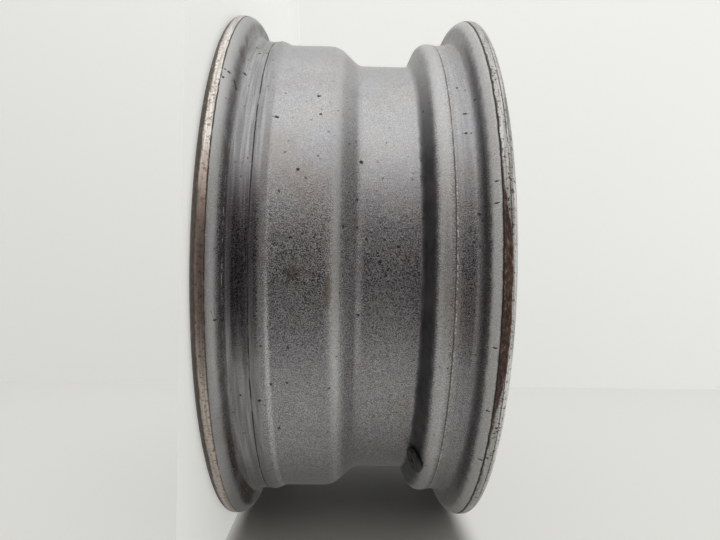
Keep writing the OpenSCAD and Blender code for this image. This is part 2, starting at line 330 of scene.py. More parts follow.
def carve(piece, operation, tool_mesh):
    """Adds a tool's solid to a piece or takes it away."""
    tool = piece_from_mesh(tool_mesh.name, tool_mesh)
    change = piece.modifiers.new("carve", "BOOLEAN")
    change.operation = operation
    change.solver = "EXACT"
    change.object = tool
    settle(piece)
    bpy.data.objects.remove(tool)
    bpy.data.meshes.remove(tool_mesh)


def smooth(piece, sharp_degrees):
    """Shades a piece smooth up to an angle between its faces."""
    mesh = piece.data
    mesh.polygons.foreach_set("use_smooth", [True] * len(mesh.polygons))
    mesh.set_sharp_from_angle(angle=math.radians(sharp_degrees))


def dress(piece, node):
    """Lets a finished piece stand for a node of the wheel."""
    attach(piece, "root")
    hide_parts(node)


# Node graphs

class Graph:
    """Short words for the nodes of one tree."""

    def __init__(self, tree):
        self.tree = tree

    def feed(self, socket, value):
        """Links a value to an input, or sets the input to a plain value."""
        if isinstance(value, bpy.types.NodeSocket):
            self.tree.links.new(value, socket)
        elif isinstance(value, tuple) and len(value) == 3 and socket.type == "RGBA":
            socket.default_value = (*value, 1)
        else:
            socket.default_value = value

    def node(self, kind, inputs=None, **settings):
        """Adds a node with its inputs, which are given by name or number; returns its outputs."""
        node = self.tree.nodes.new(kind)
        for key, value in settings.items():
            setattr(node, key, value)
        for key, value in (inputs or {}).items():
            self.feed(node.inputs[key], value)
        return node.outputs

    def math(self, operation, a, b=0.0):
        return self.node("ShaderNodeMath", {0: a, 1: b}, operation=operation)[0]

    def product(self, first, *others):
        for other in others:
            first = self.math("MULTIPLY", first, other)
        return first

    def larger(self, first, *others):
        for other in others:
            first = self.math("MAXIMUM", first, other)
        return first

    def rest_of(self, mask):
        return self.math("SUBTRACT", 1.0, mask)

    def length(self, x, y):
        return self.math("SQRT", self.math("ADD", self.product(x, x), self.product(y, y)))

    def ramp(self, value, low, high, start=0.0, end=1.0):
        """Goes smoothly from start to end while the value goes from low to high."""
        limits = {"From Min": low, "From Max": high, "To Min": start, "To Max": end}
        return self.node("ShaderNodeMapRange", {"Value": value, **limits}, interpolation_type="SMOOTHSTEP")[0]

    def band(self, value, low, high, soft):
        """1 between low and high, with soft edges."""
        rise = self.ramp(value, low - soft, low + soft)
        fall = self.ramp(value, high - soft, high + soft, 1.0, 0.0)
        return self.product(rise, fall)

    def mix(self, factor, a, b):
        """Colour from a to b."""
        return self.node("ShaderNodeMix", {"Factor": factor, 6: a, 7: b}, data_type="RGBA")[2]

    def blend(self, factor, a, b):
        """Number from a to b."""
        return self.node("ShaderNodeMix", {"Factor": factor, 2: a, 3: b}, data_type="FLOAT")[0]

    def stretched(self, vector, scale):
        return self.node("ShaderNodeVectorMath", {0: vector, 1: scale}, operation="MULTIPLY")[0]

    def parts(self, vector):
        return self.node("ShaderNodeSeparateXYZ", {0: vector})

    def noise_node(self, vector, scale, detail, roughness):
        sizes = {"Scale": scale, "Detail": detail, "Roughness": roughness}
        return self.node("ShaderNodeTexNoise", {"Vector": vector, **sizes})

    def noise(self, vector, scale, detail, roughness):
        return self.noise_node(vector, scale, detail, roughness)["Fac"]

    def patches(self, vector, scale, detail, roughness, low, high):
        """Noise of which low and less becomes 0, high and more 1."""
        return self.ramp(self.noise(vector, scale, detail, roughness), low, high)

    def group(self, tree, **inputs):
        return self.node("ShaderNodeGroup", inputs, node_tree=tree)


def new_group(name, inputs, **outputs):
    """A shader group with named sockets; inputs maps a name to a number, outputs a name to a kind."""
    tree = bpy.data.node_groups.new(name, "ShaderNodeTree")
    for label, value in inputs.items():
        tree.interface.new_socket(label, in_out="INPUT", socket_type="NodeSocketFloat").default_value = value
    for label, kind in outputs.items():
        tree.interface.new_socket(label, in_out="OUTPUT", socket_type="NodeSocket" + kind)
    graph = Graph(tree)
    return tree, graph, graph.node("NodeGroupInput"), tree.nodes.new("NodeGroupOutput").inputs


def place_group():
    """Place on the wheel: along the axis and out from it in millimetres, and round it in degrees."""
    tree, g, _, out = new_group("wheel place", {}, Point="Vector", Along="Float", Out="Float", Around="Float")
    point = g.stretched(g.node("ShaderNodeTexCoord")["Object"], (1 / MM, 1 / MM, 1 / MM))
    x, y, z = g.parts(point)
    g.feed(out["Point"], point)
    g.feed(out["Along"], z)
    g.feed(out["Out"], g.length(x, y))
    g.feed(out["Around"], g.product(g.math("ARCTAN2", y, x), math.degrees(1)))
    return tree


def grain_group(place):
    """Stipple of metallic paint as a tone and a height, with slow changes of tone."""
    sizes = {"Coarse": 0.22, "Fine": 0.8}
    tree, g, given, out = new_group("paint grain", sizes, Grain="Float", Height="Float", Tone="Float")
    point = g.group(place)["Point"]
    coarse_share = 0.14
    coarse = g.noise(point, given["Coarse"], 4.0, 0.7)
    fine = g.noise(point, given["Fine"], 2.0, 0.65)
    both = g.math("ADD", g.product(coarse, coarse_share), g.product(fine, 1 - coarse_share))
    g.feed(out["Grain"], g.ramp(both, 0.450, 0.625))
    g.feed(out["Height"], g.patches(point, given["Fine"], 1.0, 0.5, 0.3, 0.7))
    g.feed(out["Tone"], g.patches(point, 0.035, 3.0, 0.6, 0.3, 0.7))
    return tree


def specks_group(place):
    """Sparse ragged chips; share is how many of the cells hold one."""
    tree, g, given, out = new_group("specks", {"Spacing": 8.0, "Size": 1.2, "Share": 0.3}, Mask="Float")
    point = g.group(place)["Point"]
    warp = g.noise_node(point, 0.55, 4.0, 0.75)["Color"]
    warped = g.stretched(warp, (4.0, 4.0, 3.0))
    moved = g.node("ShaderNodeVectorMath", {0: point, 1: warped}, operation="ADD")[0]
    scale = g.math("DIVIDE", 1.0, given["Spacing"])
    cells = g.node("ShaderNodeTexVoronoi", {"Vector": moved, "Scale": scale})
    draws = g.node("ShaderNodeSeparateColor", {0: cells["Color"]})
    away = g.product(cells["Distance"], given["Spacing"])
    reach = g.product(given["Size"], g.ramp(draws[1], 0.0, 1.0, 0.4, 1.0))
    dot = g.ramp(g.math("SUBTRACT", away, reach), -0.25, 0.15, 1.0, 0.0)
    g.feed(out["Mask"], g.product(dot, g.math("LESS_THAN", draws[0], given["Share"])))
    return tree


def streaks_group(place):
    """Thin marks that run round the wheel."""
    tree, g, given, out = new_group("streaks", {"Fineness": 2.5, "Low": 0.5, "High": 0.7}, Mask="Float")
    drawn_out = g.stretched(g.group(place)["Point"], (0.035, 0.035, 1))
    g.feed(out["Mask"], g.patches(drawn_out, given["Fineness"], 3.0, 0.65, given["Low"], given["High"]))
    return tree


def rust_group(place):
    """Colour and crust of rusted steel, drawn out round the wheel."""
    tree, g, given, out = new_group("rust", {"Scale": 0.35}, Color="Color", Crust="Float")
    point = g.group(place)["Point"]
    patches = g.noise(g.stretched(point, (0.3, 0.3, 0.8)), given["Scale"], 6.0, 0.72)
    colour = g.mix(g.ramp(patches, 0.38, 0.50), (0.020, 0.013, 0.010), (0.085, 0.050, 0.037))
    colour = g.mix(g.ramp(patches, 0.48, 0.58), colour, (0.17, 0.105, 0.078))
    g.feed(out["Color"], g.mix(g.ramp(patches, 0.57, 0.66), colour, (0.48, 0.40, 0.34)))
    g.feed(out["Crust"], g.noise(point, g.product(given["Scale"], 3.0), 4.0, 0.7))
    return tree


def blot_group(place):
    """One ragged mark at a place on the wheel, with its half sizes in millimetres."""
    sizes = {"Along": 0.0, "Around": 0.0, "Length": 2.0, "Width": 2.0, "Wobble": 0.5}
    tree, g, given, out = new_group("blot", sizes, Mask="Float")
    here = g.group(place)
    along = g.math("DIVIDE", g.math("SUBTRACT", here["Along"], given["Along"]), given["Length"])
    turned = g.math("SUBTRACT", here["Around"], given["Around"])
    across = g.math("DIVIDE", g.product(turned, here["Out"], math.radians(1)), given["Width"])
    ragged = g.product(g.math("SUBTRACT", given["Wobble"], 0.5), 2.2)
    away = g.math("ADD", g.length(along, across), ragged)
    g.feed(out["Mask"], g.ramp(away, 0.65, 1.05, 1.0, 0.0))
    return tree


PLACE = place_group()
GRAIN = grain_group(PLACE)
SPECKS = specks_group(PLACE)
STREAKS = streaks_group(PLACE)
RUST = rust_group(PLACE)
BLOT = blot_group(PLACE)


# Materials

def new_material(name):
    material = bpy.data.materials.new(name)
    material.use_nodes = True
    graph = Graph(material.node_tree)
    return material, graph, material.node_tree.nodes["Principled BSDF"].inputs


def raise_surface(g, shader, height, depth_mm, strength=1.0):
    """Feeds a bump of the given depth to a shader's normal."""
    bump = g.node("ShaderNodeBump", {"Strength": strength, "Distance": depth_mm * MM, "Height": height})
    g.feed(shader["Normal"], bump["Normal"])


# Sectors of the tyre side in degrees round the axis, as low, high and softness of the edges
PHOTO_SECTOR = (-80.0, 80.0, 8.0)
FACING_SECTOR = (-18.0, 12.0, 12.0)
LOWER_SECTOR = (17.0, 110.0, 11.0)
SHADED_SPECKLE_SECTOR = (-10.0, 46.0, 12.0)
LESS_SHADED_WALL_SECTOR = (-90.0, -32.0, 14.0)
SOOTY_SECTOR = (-15.0, 12.0, 8.0)
# Sector of the painted ridge highlights
RIDGE_HIGHLIGHT_SECTOR = (11.0, 110.0, 11.0)
RUSTED_SECTOR = (-9.0, 22.0, 8.0)

# Zones of the tyre side in millimetres along the axis, in the same way
INNER_CURL = (-83.2, -77.2, 0.8)
WELL = (3.5, 42.0, 2.5)
# Zones of painted shade
WALL_SHADE = (41.5, 48.8, 1.4)
SLOPE_SHADE = (-14.0, 2.0, 5.0)
HUMP_SHADE = (-56.8, -52.6, 0.8)
INNER_SEAT_FOOT = (-76.0, -70.0, 1.5)
OUTER_SEAT = (64.0, 75.5, 2.0)
INNER_FILLET = (-77.2, -75.2, 0.9)
OUTER_FILLET = (73.5, 77.0, 1.6)
INNER_BEAD_LINE = (-62.5, -61.7, 0.25)
OUTER_BEAD_LINE = (59.4, 60.1, 0.35)
DOT_ROW = (60.3, 61.1, 0.2)
FLAKE_ROW = (-76.0, -75.86, 0.06)
# Zones of painted highlights
CURL_HIGHLIGHT = (77.8, 82.6, 1.2)
BRINK_HIGHLIGHT = (50.5, 57.5, 1.5)
SHOULDER_HIGHLIGHT = (-13.5, -8.0, 2.5)
SHOULDER_RIDGE = (-13.0, -7.0, 4.0)
HUMP_RIDGE = (-52.8, -50.0, 1.0)
BRINK_RIDGE = (51.0, 57.0, 1.5)
CHIPPED_PAINT = (-80.0, 81.0, 1.0)
INNER_PAINT_EDGE = (-83.4, -82.6, 0.25)
OUTER_PAINT_EDGE = (82.5, 83.4, 0.3)
LIP_LINE = (87.2, 87.8, 0.25)

# Where a surface of the tyre side starts and is whole, in millimetres along the axis
INNER_SEAT_START = (-76.8, -75.0)
INNER_SEAT_END = (-60.0, -53.0)
INNER_CREST_FROM = (-83.3, -82.5)
INNER_LIP_FROM = (-88.4, -87.0)
OUTER_CREST_FROM = (82.4, 82.9)
SILVER_LIP_FROM = 83.6
SILVER_LIP_PAST_RUST = 88.0

# Marks that the photo shows, as place along the axis, place round it and half sizes
DARK_MARKS = [
    (-38.0, -4.7, 1.2, 1.1), (-23.9, -4.8, 0.9, 0.8), (-24.2, -35.7, 1.5, 1.2), (-49.7, -29.5, 1.6, 1.2),
    (7.2, -5.1, 0.9, 0.9), (18.9, -5.1, 0.9, 0.8), (3.0, 10.4, 1.0, 0.9), (-28.7, 6.1, 0.8, 0.8),
    (-77.9, 9.3, 0.9, 0.8), (-75.6, 9.9, 0.7, 0.7), (80.2, -13.6, 1.5, 0.6), (79.9, -10.0, 1.5, 0.6),
    (80.4, 13.0, 1.5, 0.6), (80.3, 24.5, 1.5, 0.6), (81.0, 35.8, 1.6, 0.6), (-81.4, -35.3, 0.7, 0.9),
    (-79.1, -35.1, 1.0, 1.1), (-81.5, -33.1, 0.7, 1.0), (-73.5, -40.8, 1.2, 1.3), (-76.1, -34.5, 0.6, 1.8),
    (86.9, -36.1, 0.9, 1.1), (68.8, -30.6, 1.9, 0.7), (66.2, -38.3, 0.9, 1.0), (68.1, -25.8, 0.9, 0.9),
]
CRUST_MARKS = [(-76.1, 39.0, 0.8, 32.0), (-75.6, 60.0, 2.0, 42.0)]
BROWN_MARKS = [(-15.2, 5.0, 3.0, 12.0), (-36.5, 1.6, 4.5, 5.0)]

# Colours of the tyre side
PAINT_DARK = (0.295, 0.30, 0.308)
PAINT_LIGHT = (0.645, 0.655, 0.668)
CURL_PAINT = (0.30, 0.315, 0.285)
# Speckle of painted shade, darker in the well, and painted light below
SHADED_SPECKLE_DARK = (0.050, 0.050, 0.055)
SHADED_SPECKLE_LEDGE = (0.64, 0.645, 0.655)
SHADED_SPECKLE_WELL = (0.53, 0.53, 0.54)
LIT_SPECKLE_BELOW = (0.86, 0.865, 0.875)
COOL_TINT = (0.36, 0.345, 0.375)
WARM_TINT = (0.40, 0.365, 0.33)
# Painted shade in the well and on the inboard hump's facet
PAINTED_SHADE_DARK = (0.028, 0.027, 0.032)
BROWN_SMEAR = (0.25, 0.19, 0.165)
BROWN_SPOT = (0.16, 0.115, 0.085)
STAIN_DARK = (0.17, 0.17, 0.175)
STAIN_PALE = (0.36, 0.355, 0.36)
STAIN_GRAIN = (0.42, 0.41, 0.40)
STAIN_HAIRS = (0.50, 0.49, 0.47)
SOOT_DARK = (0.042, 0.034, 0.042)
SOOT_PALE = (0.155, 0.14, 0.15)
SEAT_FOOT_SOOT = (0.030, 0.026, 0.030)
INNER_FILLET_DIRT = (0.090, 0.080, 0.062)
OUTER_FILLET_DIRT = (0.050, 0.044, 0.048)
CRUST_DARK = (0.016, 0.010, 0.009)
CRUST_RED = (0.115, 0.055, 0.042)
INNER_LINE_BLACK = (0.012, 0.011, 0.011)
OUTER_LINE_RUST = (0.085, 0.050, 0.040)
# Pale flakes with their glints painted in
PALE_FLAKE_GLINT = (0.86, 0.84, 0.79)
# Painted highlights
DULL_HIGHLIGHT_GREY = (0.70, 0.70, 0.685)
DULL_HIGHLIGHT_WHITE = (0.96, 0.96, 0.945)
# Painted highlights on the ridges
RIDGE_HIGHLIGHT_GREY = (0.55, 0.55, 0.555)
RIDGE_HIGHLIGHT_BRIGHT = (0.99, 0.99, 0.99)
CHIP_BLACK = (0.018, 0.016, 0.015)
BARE_BROWN = (0.44, 0.40, 0.355)
BARE_BRIGHT = (0.72, 0.70, 0.66)
BARE_BELOW = (0.46, 0.36, 0.29)
BARE_SOOTY = (0.44, 0.28, 0.225)
BARE_SPOT = (0.26, 0.205, 0.165)
INNER_EDGE_BROWN = (0.045, 0.034, 0.028)
LIP_RUST = (0.150, 0.138, 0.112)
RED_RUST = (0.14, 0.062, 0.042)
SILVER_DULL = (0.31, 0.305, 0.29)
SILVER_BRIGHT = (0.52, 0.515, 0.50)
SILVER_SPOT = (0.050, 0.042, 0.037)
LIP_LINE_DARK = (0.035, 0.028, 0.024)
OUTER_EDGE_BLACK = (0.016, 0.014, 0.014)


class TyreSide:
    """Layers of the rim's tyre side; each goes over the paint below and keeps the masks that finish needs."""

    def __init__(self):
        self.material, self.g, self.shader = new_material("tyre_side_paint")
        g = self.g
        place = g.group(PLACE)
        self.point = place["Point"]
        self.along = place["Along"]
        self.around = place["Around"]
        wander = self.swing(0.12, 4.0, 2.4)
        self.ragged = g.math("ADD", self.along, wander)
        self.near = g.math("ADD", self.along, g.product(wander, 0.3))
        self.facing = self.sector(FACING_SECTOR)
        self.lower = self.sector(LOWER_SECTOR)
        unseen = g.rest_of(self.sector(PHOTO_SECTOR))
        self.patchy = g.product(g.noise(self.point, 0.016, 2.0, 0.5), unseen)
        self.soot = g.larger(self.sector(SOOTY_SECTOR), g.ramp(self.patchy, 0.50, 0.62))
        self.wobble = g.noise(self.point, 0.7, 3.0, 0.7)
        self.broken = g.patches(self.point, 0.10, 3.0, 0.6, 0.34, 0.5)
        self.cloudy = g.patches(self.point, 0.07, 5.0, 0.65, 0.35, 0.7)
        self.brushed = g.group(STREAKS, Fineness=1.1, Low=0.35, High=0.65)["Mask"]
        self.rust = g.group(RUST, Scale=0.8)
        self.stipple = g.group(GRAIN, Coarse=0.3, Fine=1.6)
        self.inner_curl = self.zone(INNER_CURL)
        self.texture = g.blend(g.product(self.inner_curl, 0.62), self.stipple["Grain"], 0.5)

    def swing(self, scale, detail, reach):
        """Slow noise about 0, in millimetres."""
        noise = self.g.noise(self.point, scale, detail, 0.6)
        return self.g.product(self.g.math("SUBTRACT", noise, 0.5), reach)

    def sector(self, limits):
        return self.g.band(self.around, *limits)

    def zone(self, limits):
        """A zone with ragged edges."""
        return self.g.band(self.ragged, *limits)

    def line(self, limits):
        """A zone with nearly straight edges."""
        return self.g.band(self.near, *limits)

    def marked(self, marks):
        """Mask of marks that are placed one by one."""
        masks = []
        for along, around, length, width in marks:
            sizes = {"Along": along, "Around": around, "Length": length, "Width": width}
            masks.append(self.g.group(BLOT, Wobble=self.wobble, **sizes)["Mask"])
        return self.g.larger(*masks)

    def silver_paint(self):
        """Stippled paint with a dark speckle of painted shade on the side that faces the camera, darker in
        the well, and painted light that makes it lighter lower down.
        """
        g = self.g
        paint = g.mix(self.texture, PAINT_DARK, PAINT_LIGHT)
        paint = g.mix(g.product(self.inner_curl, g.blend(self.facing, 0.35, 0.6)), paint, CURL_PAINT)
        # Painted shade: a dark speckle facing the camera, darker in the well; painted light makes it lighter
        # lower down
        well = self.line(WELL)
        bright = g.mix(self.lower, g.mix(well, SHADED_SPECKLE_LEDGE, SHADED_SPECKLE_WELL), LIT_SPECKLE_BELOW)
        shaded_speckle = g.mix(self.texture, SHADED_SPECKLE_DARK, bright)
        shaded_speckle_place = g.larger(self.facing, g.product(self.sector(SHADED_SPECKLE_SECTOR), 0.7))
        paint = g.mix(g.product(shaded_speckle_place, g.blend(well, 0.70, 0.95)), paint, shaded_speckle)
        return g.mix(0.28, paint, g.mix(self.stipple["Tone"], COOL_TINT, WARM_TINT))

    def shade_and_smears(self, paint):
        """Painted shade on the well's outboard wall, its slope and the falling facet of the inboard hump, and
        brown smears.
        """
        g = self.g
        # Painted shade in the well and on the inboard hump's facet, not lower down, and less at the top of
        # the wall; it also dulls the gloss
        slope = g.product(self.zone(SLOPE_SHADE), 0.25)
        hump = g.product(self.line(HUMP_SHADE), g.rest_of(self.lower), 0.35)
        shade_place = g.larger(self.zone(WALL_SHADE), slope, hump)
        wall_share = g.blend(self.sector(LESS_SHADED_WALL_SECTOR), 1.0, 0.30)
        self.painted_shade = g.product(shade_place, g.blend(self.cloudy, 0.82, 1.0), wall_share)
        paint = g.mix(self.painted_shade, paint, PAINTED_SHADE_DARK)
        smears = g.product(g.patches(self.point, 0.025, 4.0, 0.55, 0.50, 0.70), 0.22)
        paint = g.mix(smears, paint, BROWN_SMEAR)
        return g.mix(g.product(self.marked(BROWN_MARKS), 0.55), paint, BROWN_SPOT)

    def bead_stains(self, paint):
        """Dark rubber on the seats, drawn out round the wheel and sootiest in places."""
        g = self.g
        marks = g.group(STREAKS, Fineness=0.55, Low=0.34, High=0.70)["Mask"]
        hairs = g.group(STREAKS, Fineness=2.6, Low=0.62, High=0.74)["Mask"]
        sooty = g.mix(marks, SOOT_DARK, SOOT_PALE)
        stain = g.mix(self.soot, g.mix(marks, STAIN_DARK, STAIN_PALE), sooty)
        stain = g.mix(g.product(self.stipple["Grain"], 0.22), stain, STAIN_GRAIN)
        stain = g.mix(g.product(hairs, 0.4), stain, STAIN_HAIRS)
        stain = g.mix(g.product(self.zone(INNER_SEAT_FOOT), self.soot, 0.5), stain, SEAT_FOOT_SOOT)
        start = g.ramp(self.ragged, *INNER_SEAT_START)
        end = g.ramp(self.ragged, *INNER_SEAT_END, 1.0, 0.0)
        self.inner_seat = g.product(start, end)
        paint = g.mix(g.product(self.inner_seat, 0.94), paint, stain)
        return g.mix(g.product(self.zone(OUTER_SEAT), g.blend(marks, 0.30, 0.08)), paint, sooty)

    def fillet_dirt(self, paint):
        """Dirt in the fillets at the feet of the flanges, with thick crusts inboard."""
        g = self.g
        paint = g.mix(g.product(self.zone(OUTER_FILLET), 0.55), paint, OUTER_FILLET_DIRT)
        share = g.product(g.blend(self.cloudy, 0.15, 0.75), g.blend(self.facing, 1.0, 0.35))
        self.dirty_fillet = g.product(self.zone(INNER_FILLET), share)
        paint = g.mix(self.dirty_fillet, paint, INNER_FILLET_DIRT)
        self.crusted = self.marked(CRUST_MARKS)
        crust = g.mix(g.patches(self.point, 0.30, 4.0, 0.7, 0.45, 0.62), CRUST_DARK, CRUST_RED)
        return g.mix(g.product(self.crusted, g.ramp(self.wobble, 0.36, 0.48)), paint, crust)

    def bead_lines(self, paint):
        """A black line inboard, a rusty one outboard, and a row of pale flakes next to each seat, painted
        bright for their glints.
        """
        g = self.g
        self.inner_line = g.product(self.line(INNER_BEAD_LINE), g.blend(self.broken, 0.35, 1.0))
        paint = g.mix(self.inner_line, paint, INNER_LINE_BLACK)
        self.outer_line = g.product(self.line(OUTER_BEAD_LINE), g.blend(self.broken, 0.40, 0.85))
        paint = g.mix(self.outer_line, paint, OUTER_LINE_RUST)
        # Pale flakes, painted bright as their glints
        dots = g.patches(self.point, 0.45, 2.0, 0.6, 0.52, 0.56)
        dashes = g.patches(self.point, 0.2, 3.0, 0.7, 0.51, 0.56)
        flakes = g.product(self.line(FLAKE_ROW), dashes, g.larger(self.soot, 0.15))
        self.pale = g.larger(g.product(self.line(DOT_ROW), dots), flakes)
        return g.mix(self.pale, paint, PALE_FLAKE_GLINT)

    def pale_highlights(self, paint):
        """Painted highlights: pale dull paint on the outboard curl, the brink and the shoulder of the well,
        and brighter paint on the ridges lower down.
        """
        g = self.g
        # Painted highlights as pale dull paint
        curl = g.product(self.zone(CURL_HIGHLIGHT), 0.85)
        brink = g.product(self.zone(BRINK_HIGHLIGHT), 0.30)
        shoulder = g.product(self.zone(SHOULDER_HIGHLIGHT), g.blend(self.lower, 0.28, 0.10))
        self.dull_highlight = g.larger(curl, brink, shoulder)
        paint = g.mix(self.dull_highlight, paint, g.mix(self.stipple["Grain"], DULL_HIGHLIGHT_GREY, DULL_HIGHLIGHT_WHITE))
        # Painted highlights on the shoulder, hump and brink ridges, in the lower sector
        brink_ridge = g.product(self.line(BRINK_RIDGE), 0.7)
        ridges = g.larger(self.line(SHOULDER_RIDGE), self.line(HUMP_RIDGE), brink_ridge)
        ridge_highlight = g.product(ridges, self.sector(RIDGE_HIGHLIGHT_SECTOR), 0.62)
        return g.mix(ridge_highlight, paint, g.mix(self.texture, RIDGE_HIGHLIGHT_GREY, RIDGE_HIGHLIGHT_BRIGHT))

    def chips(self, paint):
        """Chips and pits all over, and the marks that the photo shows."""
        g = self.g
        large = g.group(SPECKS, Spacing=9.0, Size=1.2, Share=0.35)["Mask"]
        pits = g.group(SPECKS, Spacing=4.0, Size=0.7, Share=0.40)["Mask"]
        scattered = g.product(g.larger(large, g.product(pits, 0.8)), g.band(self.along, *CHIPPED_PAINT))
        self.chipped = g.larger(scattered, self.marked(DARK_MARKS))
        return g.mix(self.chipped, paint, CHIP_BLACK)

    def inner_crest(self, paint):
        """Bare brushed steel on the inboard crest, rust on its lip and the brown edge of the paint."""
        g = self.g
        bare = g.mix(self.brushed, BARE_BROWN, BARE_BRIGHT)
        bare = g.mix(g.product(self.lower, 0.45), bare, BARE_BELOW)
        bare = g.mix(g.product(self.soot, 0.65), bare, BARE_SOOTY)
        bare = g.mix(g.patches(self.point, 0.5, 4.0, 0.7, 0.50, 0.64), bare, BARE_SPOT)
        self.crest_in = g.ramp(self.near, *INNER_CREST_FROM, 1.0, 0.0)
        paint = g.mix(self.crest_in, paint, bare)
        self.lip_in = g.ramp(self.ragged, *INNER_LIP_FROM, 1.0, 0.0)
        paint = g.mix(self.lip_in, paint, g.mix(0.62, self.rust["Color"], LIP_RUST))
        share = g.product(g.blend(self.broken, 0.35, 1.0), g.blend(self.lower, 1.0, 0.55))
        self.edge_in = g.product(self.line(INNER_PAINT_EDGE), share)
        return g.mix(self.edge_in, paint, INNER_EDGE_BROWN)

    def outer_crest(self, paint):
        """Rust on the outboard crest, a silver lip past it and the black edge of the paint."""
        g = self.g
        self.crest_out = g.ramp(self.near, *OUTER_CREST_FROM)
        paint = g.mix(self.crest_out, paint, g.mix(0.15, self.rust["Color"], RED_RUST))
        silver = g.mix(self.brushed, SILVER_DULL, SILVER_BRIGHT)
        silver = g.mix(g.patches(self.point, 0.45, 4.0, 0.72, 0.54, 0.64), silver, SILVER_SPOT)
        silver = g.mix(g.product(self.line(LIP_LINE), g.blend(self.broken, 0.2, 0.9)), silver, LIP_LINE_DARK)
        rust_reach = g.larger(self.sector(RUSTED_SECTOR), g.ramp(self.patchy, 0.46, 0.60))
        lip_start = g.blend(rust_reach, SILVER_LIP_FROM, SILVER_LIP_PAST_RUST)
        swaying = g.math("ADD", self.ragged, self.swing(0.05, 3.0, 1.6))
        self.lip_out = g.ramp(g.math("SUBTRACT", swaying, lip_start), -0.3, 0.5)
        paint = g.mix(self.lip_out, paint, silver)
        self.edge_out = g.product(self.line(OUTER_PAINT_EDGE), g.blend(self.broken, 0.4, 1.0))
        return g.mix(self.edge_out, paint, OUTER_EDGE_BLACK)

    def finish(self):
        """Gloss and relief: rust, chips, the pale painted highlights and the painted shade are dull, and the
        paint is stippled.
        """
        g = self.g
        rusty = g.larger(g.product(self.crest_out, g.rest_of(self.lip_out)), self.lip_in)
        dull = g.larger(
            g.product(rusty, 0.85), self.chipped, self.edge_in, self.edge_out, self.pale, self.inner_line,
            self.crusted, self.dull_highlight, g.product(self.outer_line, 0.8), g.product(self.dirty_fillet, 0.5),
            g.product(self.painted_shade, 0.6))
        g.feed(self.shader["Metallic"], g.blend(dull, 0.90, 0.05))
        painted = g.blend(self.crest_in, g.blend(self.texture, 0.20, 0.54), 0.30)
        g.feed(self.shader["Roughness"], g.blend(dull, painted, 0.60))
        smoother = g.larger(self.inner_seat, self.crest_in, self.crest_out)
        stipple = g.product(self.stipple["Height"], g.blend(smoother, 1.0, 0.35))
        crust = g.product(self.rust["Crust"], g.larger(rusty, self.crusted), 1.6)
        height = g.math("SUBTRACT", g.math("ADD", stipple, crust), g.product(self.chipped, 0.6))
        raise_surface(g, self.shader, height, depth_mm=0.09)


def tyre_side_paint():
    """The rim's tyre side: silver paint, rubber stains on the seats, bare and rusted flange crests."""
    side = TyreSide()
    layers = (side.shade_and_smears, side.bead_stains, side.fillet_dirt, side.bead_lines, side.pale_highlights, side.chips,
              side.inner_crest, side.outer_crest)
    paint = side.silver_paint()
    for layer in layers:
        paint = layer(paint)
    side.g.feed(side.shader["Base Color"], paint)
    side.finish()
    return side.material


def shop_paint(name, light, dark, dust_colour, metallic):
    """Cleaner silver paint of the sides away from the tyre, with thin brake dust."""
    material, g, shader = new_material(name)
    point = g.group(PLACE)["Point"]
    grain = g.group(GRAIN, Coarse=0.25, Fine=1.0)["Grain"]
    dust = g.product(g.patches(point, 0.020, 8.0, 0.72, 0.38, 0.74), 0.42)
    chips = g.group(SPECKS, Spacing=14.0, Size=1.0, Share=0.25)["Mask"]
    paint = g.mix(dust, g.mix(grain, dark, light), dust_colour)
    g.feed(shader["Base Color"], g.mix(chips, paint, (0.05, 0.032, 0.024)))
    dull = g.larger(dust, chips)
    g.feed(shader["Metallic"], g.blend(dull, metallic, 0.15))
    g.feed(shader["Roughness"], g.blend(dull, g.blend(grain, 0.48, 0.40), 0.68))
    raise_surface(g, shader, g.math("SUBTRACT", g.product(grain, 0.4), chips), depth_mm=0.10, strength=0.5)
    return material


def black_rubber():
    """Moulded rubber with a grey bloom."""
    material, g, shader = new_material("valve_rubber")
    point = g.group(PLACE)["Point"]
    bloom = g.patches(point, 0.5, 5.0, 0.65, 0.4, 0.75)
    g.feed(shader["Base Color"], g.mix(bloom, (0.012, 0.012, 0.013), (0.045, 0.043, 0.042)))
    g.feed(shader["Roughness"], g.blend(bloom, 0.38, 0.62))
    raise_surface(g, shader, g.noise(point, 2.2, 3.0, 0.6), depth_mm=0.06, strength=0.5)
    return material


def turned_metal(name, clean, tarnished):
    """Machined brass or plated brass, with tarnish and a fine grain."""
    material, g, shader = new_material(name)
    point = g.group(PLACE)["Point"]
    tarnish = g.patches(point, 0.6, 4.0, 0.6, 0.38, 0.7)
    g.feed(shader["Base Color"], g.mix(tarnish, clean, tarnished))
    g.feed(shader["Roughness"], g.blend(tarnish, 0.26, 0.48))
    g.feed(shader["Metallic"], 1.0)
    raise_surface(g, shader, g.noise(point, 5.0, 2.0, 0.5), depth_mm=0.02, strength=0.4)
    return material


def cap_plastic():
    """Black plastic, grey with wear in places."""
    material, g, shader = new_material("cap_plastic")
    point = g.group(PLACE)["Point"]
    wear = g.patches(point, 0.7, 4.0, 0.6, 0.45, 0.75)
    g.feed(shader["Base Color"], g.mix(wear, (0.013, 0.013, 0.014), (0.05, 0.05, 0.05)))
    g.feed(shader["Roughness"], g.blend(wear, 0.36, 0.58))
    raise_surface(g, shader, g.noise(point, 3.0, 2.0, 0.5), depth_mm=0.03, strength=0.4)
    return material


# The wheel's pieces

# Steps round the axis, with which each mesh stays under 200,000 triangles
RIM_SEGMENTS = 400
DISC_SEGMENTS = 288
PAD_SEGMENTS = 72
HOLE_SEGMENTS = 64
VALVE_SEGMENTS = 72
CAP_SEGMENTS = 64
